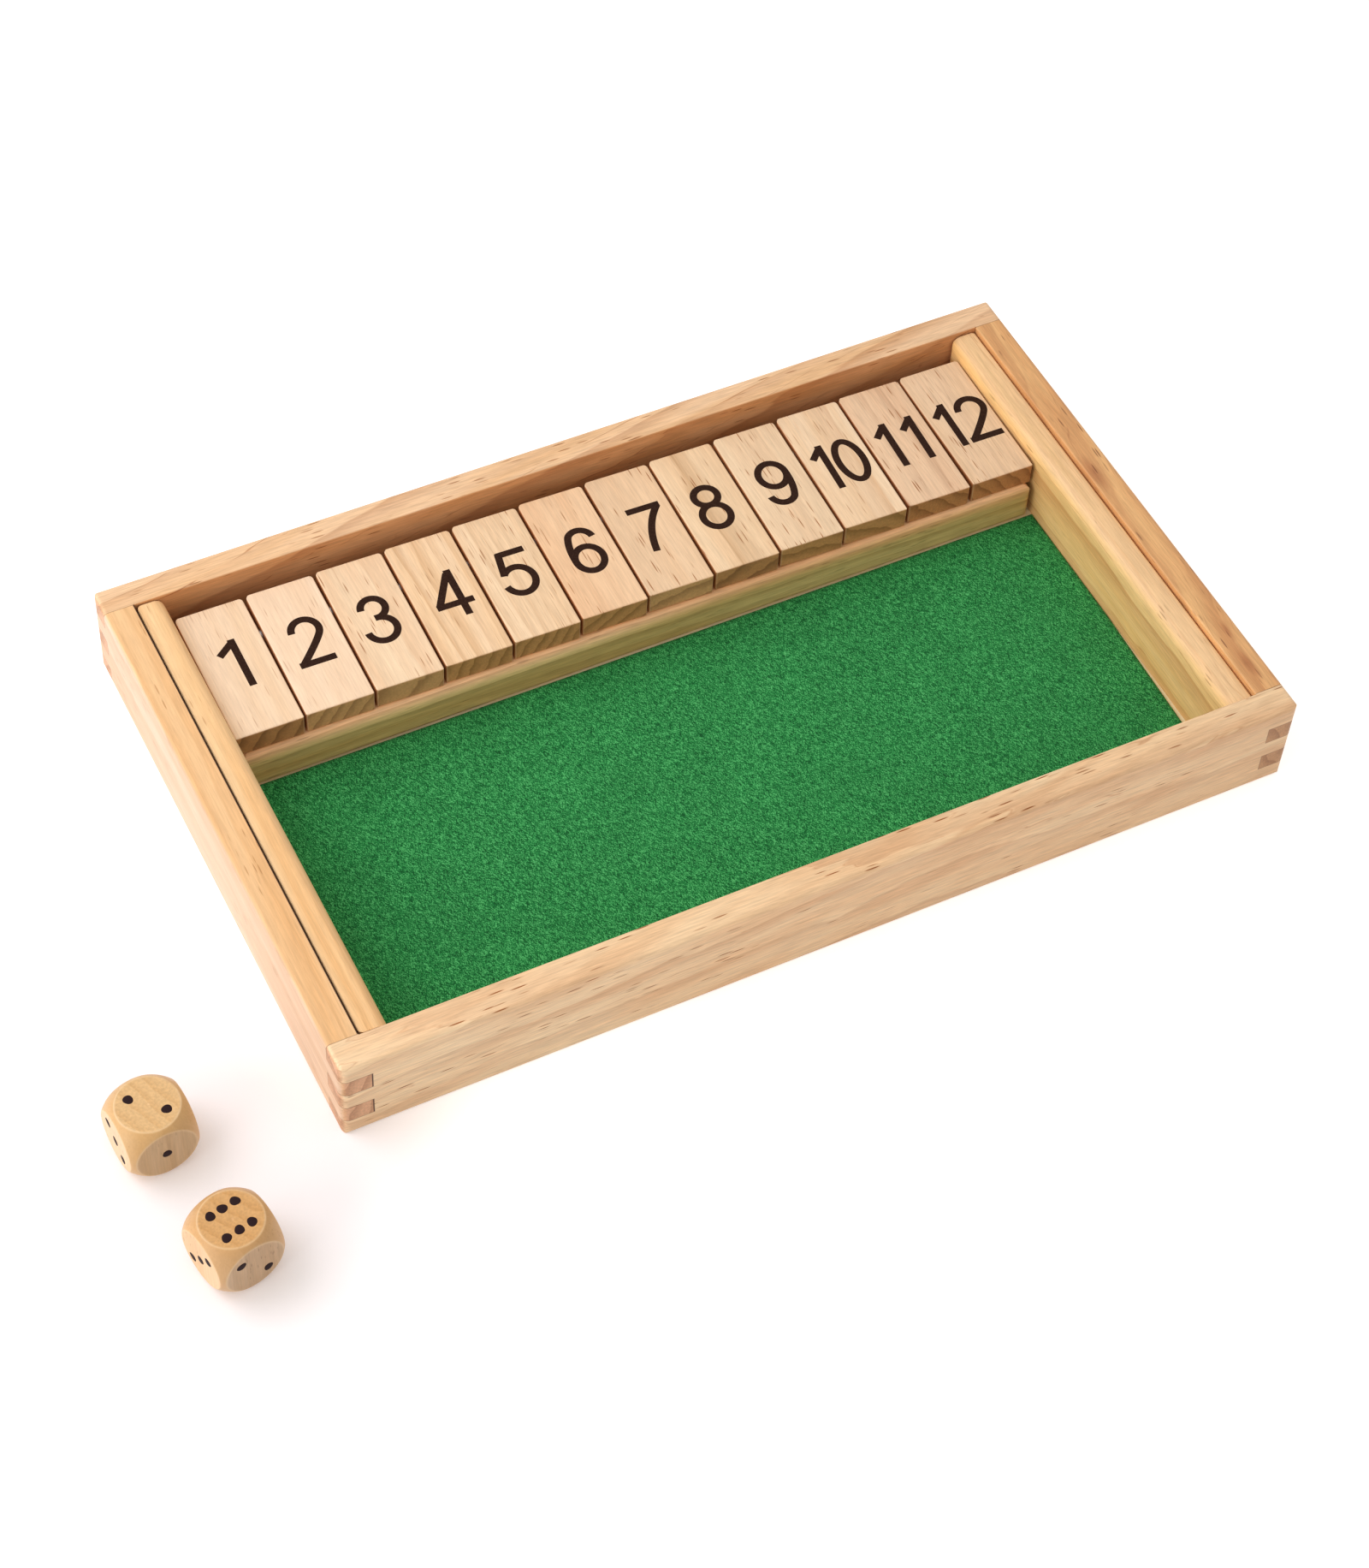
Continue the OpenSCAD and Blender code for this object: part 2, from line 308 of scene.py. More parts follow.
# %% [markdown]
# ## Where a point lies in its log
# Each piece was cut from some place in a log, a little at a slant, and the log itself bends. So a point
# is turned until the grain runs along x, moved to its place in the log, leaned, and pushed sideways by
# slow noise. Fibres and pores follow the board itself and take only a share of the bends.

# %% Places in the log
GRAIN_TURN = {"x": (0.0, 0.0, 0.0), "y": (0.0, 0.0, -90.0), "z": (0.0, 90.0, 0.0)}
BEND_WIDTH_MM, FOLLOW = 30, 0.3


def log_places(tree, where, grain, place, lean, drift, knots):
    """Places of a point in mm with the grain along x: on the piece, in the bent log, and on the run of
    its fibres. With them comes how near the point is to the knots."""
    turned = add(tree, "Mapping", {
        "Vector": where,
        "Rotation": [math.radians(angle) for angle in GRAIN_TURN[grain]],
        "Scale": [1 / MM, 1 / MM, 1 / MM],
    })
    timber = add(tree, "Mapping", {
        "Vector": turned,
        "Location": list(place),
        "Rotation": [0.0, math.radians(lean[0]), math.radians(lean[1])],
    })
    length, size = drift
    sway = streaks(tree, timber, (length, BEND_WIDTH_MM), 1.5, out="Color")
    centred = add(tree, "VectorMath", {0: sway, 1: (0.5, 0.5, 0.5)}, operation="SUBTRACT")
    bent = add(tree, "VectorMath", {0: centred, 1: (0.0, size, size), 2: timber},
               operation="MULTIPLY_ADD")
    knot = knot_share(tree, turned, knots)
    if knot:
        bulge = add(tree, "VectorMath", {0: (0.0, KNOT_BULGE_MM, KNOT_BULGE_MM), "Scale": knot},
                    operation="SCALE")
        bent = add(tree, "VectorMath", {0: bent, 1: bulge}, operation="ADD")
    board = add(tree, "VectorMath", {0: turned, 1: tuple(place)}, operation="ADD")
    run = add(tree, "VectorMath", {0: centred, 1: (0.0, FOLLOW * size, FOLLOW * size), 2: board},
              operation="MULTIPLY_ADD")
    return turned, bent, run, knot


print("bends of the log are", BEND_WIDTH_MM, "mm wide, and fibres follow", FOLLOW, "of them")

# %% [markdown]
# ## Joints and grooves
# The boards are glued with finger joints, and the glue shows as a hairline round each finger. A strip
# only lies against its side board, and the groove between them is darkened with painted shade. Both
# follow flat planes of the box, so they are worked out from the place of a point and drawn into the
# colour.

# %% Joint lines
# Half widths. A real hairline is finer than a tenth of a millimetre, and is drawn wider to show
JOINT_HALF_LINE = 0.13 * MM
GROOVE_SHADE_HALF_WIDTH = 0.32 * MM
JOINT_STRENGTH = 0.5


def painted_groove_shade(tree, place, colour, depth):
    """Paints shade into the groove where a strip meets its side board: within GROOVE_SHADE_HALF_WIDTH of
    the inner width the colour goes to a dark brown, by the share depth."""
    across = add(tree, "SeparateXYZ", {"Vector": place}, out="X")
    size = add(tree, "Math", {0: across}, operation="ABSOLUTE")
    inside = add(tree, "Math", {0: size, 1: IN_X, 2: GROOVE_SHADE_HALF_WIDTH}, operation="COMPARE")
    share = add(tree, "Math", {0: inside, 1: depth}, operation="MULTIPLY")
    return add(tree, "Mix", {"Factor": share, "A": colour, "B": linear("#421c02")}, data_type="RGBA")


def joint_lines(tree, place, colour):
    """Darkens the hairlines of the finger joints. In the corner blocks a line lies at each height between
    two fingers. It also lies where one board's end meets the other's flank: at the inner depth in bands
    1, 3 and 5, counted from the foot, and at the inner width in bands 2 and 4."""
    x, y, z = add(tree, "SeparateXYZ", {"Vector": place}, out=("X", "Y", "Z"))
    beyond, on_line = [], []
    for axis, inner in ((x, IN_X), (y, IN_Y)):
        size = add(tree, "Math", {0: axis}, operation="ABSOLUTE")
        beyond.append(add(tree, "Math", {0: size, 1: inner - JOINT_HALF_LINE}, operation="GREATER_THAN"))
        on_line.append(add(tree, "Math", {0: size, 1: inner, 2: JOINT_HALF_LINE}, operation="COMPARE"))
    corner = add(tree, "Math", {0: beyond[0], 1: beyond[1]}, operation="MULTIPLY")
    level = add(tree, "Math", {0: z, 1: FINGER_H}, operation="DIVIDE")
    nearest = add(tree, "Math", {0: level}, operation="ROUND")
    at_level = add(tree, "Math", {0: level, 1: nearest, 2: JOINT_HALF_LINE / FINGER_H},
                   operation="COMPARE")
    inside = add(tree, "Math", {0: level, 1: FINGER_COUNT / 2, 2: FINGER_COUNT / 2 - 0.5},
                 operation="COMPARE")
    on_level = add(tree, "Math", {0: at_level, 1: inside}, operation="MULTIPLY")
    half_level = add(tree, "Math", {0: level, 1: 0.5}, operation="MULTIPLY")
    pair = add(tree, "Math", {0: half_level}, operation="FRACT")
    even = add(tree, "Math", {0: pair, 1: 0.5}, operation="GREATER_THAN")
    odd = add(tree, "Math", {0: 1.0, 1: even}, operation="SUBTRACT")
    line_y = add(tree, "Math", {0: on_line[1], 1: odd}, operation="MULTIPLY")
    line_x = add(tree, "Math", {0: on_line[0], 1: even}, operation="MULTIPLY")
    lines = add(tree, "Math", {0: line_y, 1: line_x}, operation="MAXIMUM")
    lines = add(tree, "Math", {0: lines, 1: on_level}, operation="MAXIMUM")
    share = add(tree, "Math", {0: lines, 1: corner}, operation="MULTIPLY")
    faint = add(tree, "Math", {0: share, 1: JOINT_STRENGTH}, operation="MULTIPLY")
    return add(tree, "Mix", {"Factor": faint, "A": colour, "B": linear("#6b4427")}, data_type="RGBA")


print("a finger is", round(FINGER_H / MM, 2), "mm high, and its hairline", 2 * JOINT_HALF_LINE / MM, "mm")

# %% [markdown]
# ## The wood material
# Now the parts are laid on top of each other, from the widest feature to the finest. The eye reads planed
# wood by its satin gloss, a little broken by the fibres, and by its faces: the top, the flanks and the
# sawn ends of one board take the light differently. The sawn ends get a darker tone of their own, and the
# top and the flanks get tints of painted light and shade.

# %% Wood material
# End grain shows specks this wide. Fibres stand up by RELIEF, and a pore is a pit of PIT_SHARE of it
SPECK_MM, RELIEF, PIT_SHARE = 0.7, 0.06 * MM, 0.3


def facing(tree, normal, axis, start, full):
    """How much a face looks along an axis, from 0 to 1: |normal . axis| between start and full."""
    along = add(tree, "VectorMath", {0: normal, 1: axis}, operation="DOT_PRODUCT")
    size = add(tree, "Math", {0: along}, operation="ABSOLUTE")
    return add(tree, "MapRange", {"Value": size, "From Min": start, "From Max": full})


def wood(name, tones, ends, grain, place, lean=(1.0, 0.5), drift=(90.0, 6.0), ring_mm=4.0, rings=0.3,
         lines=0.3, fibres=0.15, pores=0.5, pore_mm=(3.5, 0.45), pore_patch=0.5, top="#ffffff",
         painted_flank_shade="#ffffff", knots=(), rough=0.5, joints=False, groove_shade=0.0, painted_falloff=None, marks=()):
    """Planed wood. tones are the hex colours of light wood, dark wood, ring lines and pores; ends are
    those of pale and dark end grain. grain is "x", "y" or "z". place is where the piece lies in its log,
    in mm from the heart. lean is the slant of the log in degrees, and drift is the length and the size of
    its bends in mm. rings, lines, fibres and pores are strengths. top is a tint of painted light and
    shade for the level faces, and painted_flank_shade is one for the upright faces that run along the
    grain. groove_shade is how dark the painted shade in the groove beside the strip is. painted_falloff
    is (start, end, hex colour): from start to end, in mm along the grain, the wood takes on that tint, as
    a painted falloff of the light. marks are (attribute, hex colour): the colour covers the wood where
    that attribute is 1."""
    material, tree = new_material(name)
    where, normal = add(tree, "TexCoord", out=("Object", "Normal"))
    turned, bent, run, knot = log_places(tree, where, grain, place, lean, drift, knots)
    late, darkest = growth(tree, bent, ring_mm, rings, lines)
    fibre = streaks(tree, run, FIBRE_MM, 3.0, roughness=0.65)
    band = streaks(tree, bent, BAND_MM, 1.5)
    pore_share = pore_marks(tree, run, pore_mm, pores, pore_patch)

    # Light wood, darker bands, rings and knots, and the pores in them
    light, dark, line, pore = (linear(tone) for tone in tones)
    band_share = add(tree, "MapRange", {"Value": band, "From Min": 0.36, "From Max": 0.66})
    body = add(tree, "Mix", {"Factor": band_share, "A": light, "B": dark}, data_type="RGBA")
    if knot:
        stain = add(tree, "Math", {0: knot, 1: KNOT_STAIN}, operation="MULTIPLY")
        darkest = add(tree, "Math", {0: darkest, 1: stain}, operation="MAXIMUM")
    ringed = add(tree, "Mix", {"Factor": darkest, "A": body, "B": line}, data_type="RGBA")
    pored = add(tree, "Mix", {"Factor": pore_share, "A": ringed, "B": pore}, data_type="RGBA")

    # The level faces and the upright faces along the grain get tints of painted light and shade, and the
    # sawn ends have tones of their own
    along = tuple(float(axis == grain) for axis in "xyz")
    cross = (0.0, 1.0, 0.0) if grain == "x" else (1.0, 0.0, 0.0)
    side_share = facing(tree, normal, cross, 0.5, 0.9)
    end_share = facing(tree, normal, along, 0.6, 0.92)
    tint = add(tree, "Mix", {"Factor": side_share, "A": linear(top), "B": linear(painted_flank_shade)},
               data_type="RGBA")
    # Painted falloff of the light along the board: from start to end the wood takes on a slightly darker
    # tint
    if painted_falloff:
        start, end, falloff_tint = painted_falloff
        along_board = add(tree, "SeparateXYZ", {"Vector": turned}, out="X")
        falloff_share = add(tree, "MapRange", {"Value": along_board, "From Min": start, "From Max": end},
                    interpolation_type="SMOOTHSTEP")
        tint = add(tree, "Mix", {"Factor": falloff_share, "A": tint, "B": linear(falloff_tint)}, data_type="RGBA")
    face_shaded = add(tree, "VectorMath", {0: pored, 1: tint}, operation="MULTIPLY")
    end_tone = add(tree, "Mix", {"Factor": late, "A": linear(ends[0]), "B": linear(ends[1])},
                   data_type="RGBA")
    planed = add(tree, "Mix", {"Factor": end_share, "A": face_shaded, "B": end_tone}, data_type="RGBA")

    # Fibres and end specks are lighter and darker by a share of the colour under them
    speck = add(tree, "TexNoise", {"Vector": bent, "Scale": 1 / SPECK_MM, "Detail": 2.0})
    finest = add(tree, "Mix", {"Factor": end_share, "A": fibre, "B": speck}, data_type="FLOAT")
    gain = add(tree, "MapRange", {"Value": finest, "From Min": 0.3, "From Max": 0.7, "To Min": 1 - fibres,
                                  "To Max": 1 + 0.7 * fibres}, clamp=False)
    colour = add(tree, "VectorMath", {0: planed, "Scale": gain}, operation="SCALE")
    if joints:
        colour = joint_lines(tree, where, colour)
    # Painted shade in the groove beside the strip
    if groove_shade:
        colour = painted_groove_shade(tree, where, colour, groove_shade)
    for attribute, tone in marks:
        marked = add(tree, "Attribute", out="Fac", attribute_name=attribute)
        colour = add(tree, "Mix", {"Factor": marked, "A": colour, "B": linear(tone)}, data_type="RGBA")

    # Fibres stand a little proud and pores are pits; both are a few hundredths of a millimetre
    pit = add(tree, "Math", {0: pore_share, 1: PIT_SHARE}, operation="MULTIPLY")
    height = add(tree, "Math", {0: finest, 1: pit}, operation="SUBTRACT")
    bump = add(tree, "Bump", {"Height": height, "Strength": 0.4, "Distance": RELIEF})
    shader = add(tree, "BsdfPrincipled", {"Base Color": colour, "Roughness": rough, "IOR": 1.45,
                                          "Normal": bump})
    add(tree, "OutputMaterial", {"Surface": shader})
    return material


print("wood relief", RELIEF / MM, "mm, end grain specks", SPECK_MM, "mm")

# %% [markdown]
# ## The box
# The four boards come from different planks, so each has its own tone and its own place in the timber.
# The left board is the palest, partly through painted light on its top and flanks, and the right one the
# reddest. The fingers of one board end on the face of the next, and there they show end grain, which is
# darker because the cut fibres swallow light.

# %% Dress the boards and the base
FINGER_ENDS = ("#dba881", "#b98762")
# The front rail's top and flank tints are painted light and shade. Its painted falloff leaves the left
# end lighter than the rest, as the light falls off from the left
dress("front_rail", wood(
    "beech_front_rail", ("#fce0b7", "#f4d0a4", "#b8753f", "#9c5c24"), FINGER_ENDS, "x", (31, 30, 62),
    lean=(9.0, -9.0), drift=(130, 8), ring_mm=10.0, rings=0.35, lines=0.85, fibres=0.18, pores=1.0,
    pore_mm=(4.0, 0.34), pore_patch=0.42, top="#fef9f6", painted_flank_shade="#fcfbfa",
    painted_falloff=(-100, -40, "#faf3ed"), joints=True))
# The back rail's flank tint is painted shade, darker and redder on its inner face
dress("back_rail", wood(
    "beech_back_rail", ("#f3cba1", "#ebbd8c", "#ad6c3c", "#9c5c24"), FINGER_ENDS, "x", (240, 20, 44),
    lean=(4.0, -9.0), drift=(120, 8), ring_mm=7.0, rings=0.4, lines=1.0, fibres=0.18, pores=0.8,
    pore_mm=(3.6, 0.34), pore_patch=0.46, painted_flank_shade="#e9ceb6", joints=True))
# The left board's top and flank tints paint it paler, as painted light from the left, and the groove
# beside its strip gets painted shade
dress("left_side_board", wood(
    "beech_left_board", ("#f6cfb3", "#eec09c", "#d29d6a", "#a86f34"), FINGER_ENDS, "y", (80, 25, 52),
    lean=(1.0, 0.9), drift=(110, 7), ring_mm=5.0, rings=0.3, lines=0.45, fibres=0.13, pores=0.55,
    pore_mm=(3.5, 0.34), pore_patch=0.53, top="#fcf4d0", painted_flank_shade="#f1f8f7", joints=True, groove_shade=1.0))
dress("right_side_board", wood(
    "beech_right_board", ("#ecb87c", "#dca269", "#a35c31", "#7d4626"), ("#c29165", "#a37148"), "y",
    (11, 30, 60), lean=(3.0, 2.5), drift=(70, 12), ring_mm=6.0, rings=0.45, lines=0.65, fibres=0.17,
    pores=0.75, pore_mm=(3.6, 0.4), pore_patch=0.46, joints=True,
    knots=[(12, -138, 30, 4.0), (-56, -141, 30, 1.8), (-69, -140, 30, 3.0)]))
dress("base_panel", wood(
    "birch_base_panel", ("#f2e6bf", "#e9d8aa", "#d2b987", "#b09262"), ("#cdb388", "#b89a6c"), "x",
    (140, 33, 9), lean=(0.4, 1.0), ring_mm=5.0, rings=0.15, lines=0.1, fibres=0.1, pores=0.1))
print("boards dressed")

# %% [markdown]
# ## Strips and tile rest
# The strips that hold the rod and the batten under the tiles are moulded from a straight-grained
# softwood. Their bands run the whole length, so the texture gets narrow rings and nearly no lean.

# %% Dress the strips, the rest and the rod
STRIP_ENDS = ("#c79767", "#a8763f")
# The groove beside the left strip is darkened with painted shade, on the strip and on the board
dress("left_rod_strip", wood(
    "pine_left_strip", ("#fad09a", "#f1bf84", "#d1934f", "#a9692e"), STRIP_ENDS, "y", (55, 31, 20),
    lean=(0.6, 0.4), drift=(140, 5), ring_mm=3.6, rings=0.25, lines=0.45, fibres=0.13, pores=0.6,
    pore_mm=(4.0, 0.36), pore_patch=0.5, groove_shade=1.0))
# The right strip's top and flank tints are painted light and shade
dress("right_rod_strip", wood(
    "pine_right_strip", ("#f8d3a2", "#f0c489", "#bb7434", "#875a2e"), STRIP_ENDS, "y", (23, 24, 47),
    lean=(0.3, 0.2), drift=(160, 5), ring_mm=7.0, rings=0.5, lines=0.7, fibres=0.16, pores=0.5,
    pore_mm=(3.5, 0.36), pore_patch=0.5, top="#fcf9f7", painted_flank_shade="#fffae6"))
# The rest's flank tint is painted shade, tinted green as a painted reflection of the felt
dress("tile_rest", wood(
    "pine_tile_rest", ("#fbcf9e", "#efba86", "#a96f3c", "#85552f"), ("#c19062", "#9c6c40"), "x",
    (62, 18, 36), lean=(0.3, 0.5), drift=(140, 5), ring_mm=3.0, rings=0.7, lines=0.9, fibres=0.2,
    pores=0.35, painted_flank_shade="#dae7d0"))
print("strips and rest dressed")

# %% [markdown]
# ## The rod
# The rod is drawn steel wire, which is bright. Its fine scratches run along it and only widen its
# highlight, so a middling roughness is enough. Little of it shows, in the gaps between the tiles.

# %% Dress the rod
steel, steel_tree = new_material("drawn_steel_rod")
steel_shader = add(steel_tree, "BsdfPrincipled", {"Base Color": linear("#c9c8c6"), "Metallic": 1.0,
                                                  "Roughness": 0.28})
add(steel_tree, "OutputMaterial", {"Surface": steel_shader})
dress("pivot_rod", steel)
rod_low, rod_high = corners("pivot_rod")
print("rod:", round(float(rod_high[2] - rod_low[2]) / MM, 2), "mm thick")

# %% [markdown]
# ## The tiles
# The twelve tiles are sawn from many planks, so no two match. A short table says what each one looks
# like: its tones, the strength of its rings, lines, fibres and pores, and where in the log it lay. It
# reads from 1 to 12.

# %% Dress the tiles
TILE_LOOKS = [
    # light, dark, ring line, rings, lines, fibres, pores, ring_mm, slant across, place in the log, end
    ("#f7d8b6", "#f3d1ab", "#d8ab80", 0.10, 0.15, 0.11, 0.35, 5.0, 0.6, (22, 58), "dark"),
    ("#fadcbc", "#f6d4b1", "#d8ab80", 0.12, 0.15, 0.11, 0.40, 4.0, 0.5, (34, 66), "pale"),
    ("#f8dab5", "#f1cba4", "#c4884f", 0.25, 0.40, 0.12, 0.80, 9.0, 2.0, (30, 40), "pale"),
    ("#fbdcb7", "#f5cfa3", "#b9834a", 0.50, 0.60, 0.13, 0.50, 4.2, 0.3, (60, 22), "plain"),
    ("#f8d8b1", "#f2cfa6", "#b9834a", 0.30, 0.75, 0.15, 0.80, 3.4, 0.4, (52, 30), "plain"),
    ("#f4cda4", "#efc398", "#b37d50", 0.16, 0.45, 0.13, 0.70, 4.5, 0.8, (40, 44), "plain"),
    ("#f4d2ab", "#efc9a0", "#a36e45", 0.16, 0.45, 0.13, 0.90, 5.0, 1.0, (26, 60), "pale"),
    ("#f6d6ae", "#f0ca9f", "#a87840", 0.40, 0.55, 0.13, 0.80, 8.0, -0.8, (58, 20), "dark"),
    ("#f5d7b1", "#f0cea7", "#a36e45", 0.18, 0.45, 0.13, 0.90, 4.8, 0.5, (38, 52), "plain"),
    ("#fadfbd", "#f4d2aa", "#c48a52", 0.45, 0.55, 0.12, 0.50, 6.0, 3.2, (44, 30), "plain"),
    ("#f2cfaa", "#e9c19b", "#935c37", 0.25, 0.60, 0.15, 1.00, 4.4, 0.5, (50, 36), "red"),
    ("#f0cda8", "#eac59d", "#935c37", 0.14, 0.50, 0.14, 0.90, 4.6, 0.5, (30, 54), "red"),
]
TILE_PORE = "#a0602a"
TILE_ENDS = {
    "pale": ("#cc9b6b", "#a67850"),
    "plain": ("#bf8a59", "#97693d"),
    "dark": ("#b98356", "#8b5d3a"),
    "red": ("#bd8052", "#955e38"),
}
# Each tile's flank tint is painted shade on its sides, which darkens the gaps between the tiles
for number, (name, look) in enumerate(zip(TILE_NAMES, TILE_LOOKS), start=1):
    light, dark, line, rings, lines, fibres, pores, ring_mm, slant, (over, up), end = look
    dress(name, wood(f"pine_{name}", (light, dark, line, TILE_PORE), TILE_ENDS[end], "y",
                     (47.0 * number, over, up), lean=(0.2, slant), drift=(160, 6), ring_mm=ring_mm,
                     rings=rings, lines=lines, fibres=fibres, pores=pores, pore_mm=(4.5, 0.3),
                     pore_patch=0.46, painted_flank_shade="#b98c68"))
print("tiles dressed:", len(TILE_NAMES))

# %% [markdown]
# ## Felt
# Felt is a sheet of tangled fibres pressed flat, and this one is dyed green and glued to the base. Its
# surface swells by a twentieth of a millimetre and rolls down at the cut edge. The sheet is a grid with
# that swell, closed round its edge.

# %% Shape of the felt
FELT_COLUMNS, FELT_ROWS = 240, 100
SWELL = 0.05 * MM
ROLL_DEPTH, ROLL_WIDTH = 0.25 * MM, 0.35 * MM
felt_low, felt_high = corners("felt_mat")


def felt_outline():
    """Heights y of the felt's right edge and its x at each, read off the solid's corners."""
    points = points_of("felt_mat")
    right = points[points[:, 0] > 0]
    heights = np.unique(np.round(right[:, 1], 6))
    return heights, [right[np.abs(right[:, 1] - y) < 1e-5, 0].max() for y in heights]


def felt_sheet():
    """Grid of u across and v deep: x = left + u (right(y) - left), y = front + v depth. The top is at
    high - SWELL (0.5 + (long wave + short wave) / 4) - roll, with the roll ROLL_DEPTH exp(-r /
    ROLL_WIDTH) at a distance r from the border; the bottom is flat."""
    u, v = np.meshgrid(np.linspace(0, 1, FELT_COLUMNS), np.linspace(0, 1, FELT_ROWS))
    y = felt_low[1] + v * (felt_high[1] - felt_low[1])
    right = np.interp(y, *felt_outline())
    x = felt_low[0] + u * (right - felt_low[0])
    long_wave = np.sin(x / (11 * MM) + 2 * np.sin(y / (17 * MM)))
    short_wave = np.sin(y / (7 * MM) + x / (23 * MM))
    swell = 0.5 + 0.25 * (long_wave + short_wave)
    rim = np.minimum(np.minimum(x - felt_low[0], right - x),
                     np.minimum(y - felt_low[1], felt_high[1] - y))
    roll = ROLL_DEPTH * np.exp(-rim / ROLL_WIDTH)
    top = np.stack([x, y, felt_high[2] - SWELL * swell - roll], -1).reshape(-1, 3)
    bottom = np.stack([x, y, np.full_like(x, felt_low[2])], -1).reshape(-1, 3)

    count = FELT_ROWS * FELT_COLUMNS
    grid = np.arange(count).reshape(FELT_ROWS, FELT_COLUMNS)
    cell = grid[:-1, :-1].ravel()
    upper = np.stack([cell, cell + 1, cell + FELT_COLUMNS + 1, cell + FELT_COLUMNS], -1)
    lower = upper[:, ::-1] + count
    loop = np.concatenate([grid[0, :-1], grid[:-1, -1], grid[-1, :0:-1], grid[:0:-1, 0]])
    after = np.roll(loop, -1)
    walls = np.stack([loop, loop + count, after + count, after], -1)
    return np.concatenate([top, bottom]), np.concatenate([upper, lower, walls])


print("felt grid:", FELT_COLUMNS, "by", FELT_ROWS, "points")

# %% [markdown]
# ## The felt close up
# Close up, felt is a mat of short pale hairs over a darker bed, most of them combed one way. It swallows
# light and has a soft sheen against it. The hairs are streaks of noise at three angles, added up. Real
# hairs are 0.03 mm thick, which wouldn't show, so they are drawn about 0.2 mm wide.

# %% Make the felt
FELT_HAIRS = [
    # angle in degrees, width and length in mm
    (22, 0.17, 2.2), (50, 0.18, 1.7), (-12, 0.20, 1.5),
]
FELT_TONES = [(0.0, "#064921"), (0.35, "#146c33"), (0.6, "#1f8640"), (1.0, "#5bbd70")]
FELT_CLOUD, FELT_GRIT, FELT_NAP = 10 * MM, 0.3 * MM, 0.12 * MM
# The four noises add up to between these
FELT_LOW, FELT_HIGH = 1.76, 2.24


def new_piece(name, vertices, faces, material, smooth=True):
    """Makes a mesh object from corners and faces, at the origin, with one material."""
    mesh = bpy.data.meshes.new(name)
    mesh.from_pydata(vertices.tolist(), [], faces if isinstance(faces, list) else faces.tolist())
    mesh.polygons.foreach_set("use_smooth", np.full(len(mesh.polygons), smooth))
    mesh.materials.append(material)
    mesh.update()
    piece = bpy.data.objects.new(name, mesh)
    bpy.context.scene.collection.objects.link(piece)
    return piece


def felt_material():
    """Pressed wool felt: hairs that run from dark gaps to pale tips, under a faint cloud of tone; very
    rough, with a soft sheen."""
    material, tree = new_material("wool_felt_green")
    where = add(tree, "TexCoord", out="Object")
    cloud = add(tree, "TexNoise",
                {"Vector": where, "Scale": 1 / FELT_CLOUD, "Detail": 3.0, "Roughness": 0.6})
    mat = add(tree, "TexNoise", {"Vector": where, "Scale": 1 / FELT_GRIT, "Detail": 1.0})
    for angle, width, length in FELT_HAIRS:
        lie = add(tree, "Mapping", {"Vector": where, "Rotation": [0.0, 0.0, math.radians(angle)],
                                    "Scale": [width * MM, length * MM, MM]}, vector_type="TEXTURE")
        hair = add(tree, "TexNoise", {"Vector": lie, "Scale": 1.0, "Detail": 2.5, "Roughness": 0.6,
                                      "Distortion": 0.5})
        mat = add(tree, "Math", {0: mat, 1: hair}, operation="ADD")
    tuft = add(tree, "MapRange", {"Value": mat, "From Min": FELT_LOW, "From Max": FELT_HIGH})
    haired = add(tree, "ValToRGB", {"Fac": tuft}, colours=FELT_TONES)
    shade = add(tree, "MapRange", {"Value": cloud, "From Min": 0.3, "From Max": 0.7, "To Min": 0.92,
                                   "To Max": 1.08})
    clouded = add(tree, "VectorMath", {0: haired, "Scale": shade}, operation="SCALE")
    bump = add(tree, "Bump", {"Height": mat, "Strength": 0.5, "Distance": FELT_NAP})
    shader = add(tree, "BsdfPrincipled", {"Base Color": clouded, "Roughness": 0.95, "Sheen Weight": 0.12,
                                          "Sheen Roughness": 0.6, "Sheen Tint": linear("#7fb98a"),
                                          "Specular IOR Level": 0.2, "Normal": bump})
    add(tree, "OutputMaterial", {"Surface": shader})
    return material


felt = new_piece("felt", *felt_sheet(), felt_material())
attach(felt, "box")
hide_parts("felt_mat")
print("felt:", len(felt.data.polygons), "faces")

# %% [markdown]
# ## Printed numbers
# The numbers are screen printed: one even stroke of black ink with square ends, about 18 mm high. Each
# digit is a few strokes, and each stroke is a path, made of straight lines, arcs of an ellipse and one
# kind of bend. A ribbon of ink follows the path, a few hundredths of a millimetre thick, and sits on its
# tile.

# %% Paths and ribbons
INK_HALF_WIDTH = 1.08
INK_THICK = 0.03
STRAIGHT_STEPS, CURVE_STEPS = 4, 40


def straight(start, end):
    """Points from start to end."""
    share = np.linspace(0, 1, STRAIGHT_STEPS)[:, None]
    return (1 - share) * np.array(start) + share * np.array(end)


def arc(middle, radii, from_deg, to_deg):
    """Points of an ellipse: middle + (rx cos a, ry sin a), with a from from_deg to to_deg."""
    angle = np.radians(np.linspace(from_deg, to_deg, CURVE_STEPS))
    return np.array(middle) + np.stack([radii[0] * np.cos(angle), radii[1] * np.sin(angle)], -1)


def bend(start, pull, end):
    """Quadratic curve (1-t)^2 start + 2t(1-t) pull + t^2 end."""
    t = np.linspace(0, 1, CURVE_STEPS)[:, None]
    return (1 - t) ** 2 * np.array(start) + 2 * t * (1 - t) * np.array(pull) + t ** 2 * np.array(end)


def joined(*parts):
    """One path from several, without the doubled points between them."""
    path = np.concatenate(parts)
    keep = np.concatenate([[True], np.linalg.norm(np.diff(path, axis=0), axis=1) > 1e-4])
    return path[keep]


